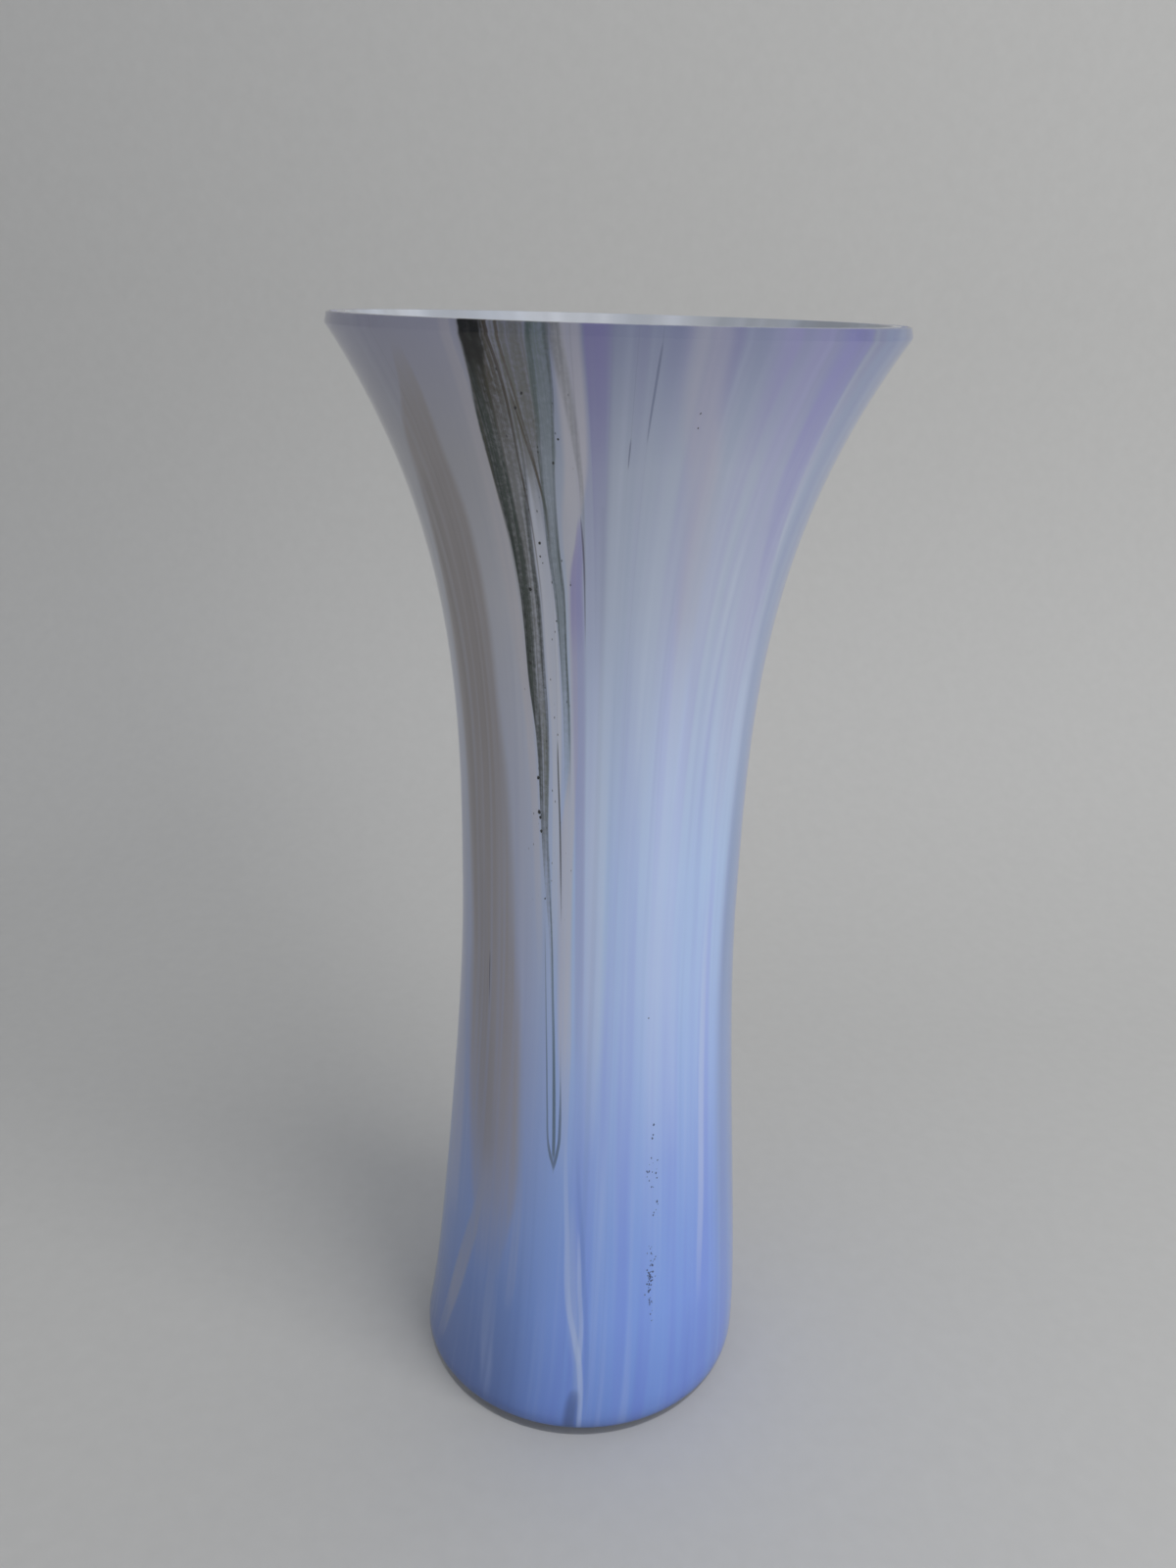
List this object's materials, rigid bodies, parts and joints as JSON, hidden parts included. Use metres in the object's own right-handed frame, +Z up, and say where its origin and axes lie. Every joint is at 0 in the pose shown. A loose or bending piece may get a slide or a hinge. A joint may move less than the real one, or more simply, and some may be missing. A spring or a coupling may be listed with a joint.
{
  "type": "vase",
  "caption": "Tall waisted blown glass vase with a flared trumpet mouth: streaked blue, lavender and smoke colours over an opal lining, cased in clear glass.",
  "frame": {"origin": "middle of the foot's underside, on the surface the vase stands on", "axes": "+Z up along the vase's axis, from the foot to the mouth; -Y is the front, the side with the dark trail"},
  "size_m": [0.1354, 0.1354, 0.3],
  "materials": {
    "clear_glass": "polished",
    "opal_glass": "polished",
    "blue_glass": "polished",
    "dark_glass": "polished",
    "green_glass": "polished",
    "violet_glass": "polished",
    "rose_glass": "polished",
    "lavender_glass": "polished",
    "smoke_glass": "polished",
    "milky_glass": "polished"
  },
  "bodies": {
    "root": {"clear_casing": "clear_glass", "opal_lining": "opal_glass", "blue_skin": "blue_glass", "dark_trail": "dark_glass", "green_trail": "green_glass", "drawn_loop": "green_glass", "violet_stripe": "violet_glass", "violet_thread": "violet_glass", "rose_veil": "rose_glass", "lavender_panel": "lavender_glass", "smoke_band": "smoke_glass", "milky_wisp": "milky_glass", "foot_veils": "milky_glass", "front_chips": "dark_glass", "trail_chips": "dark_glass"}
  },
  "joints": []
}
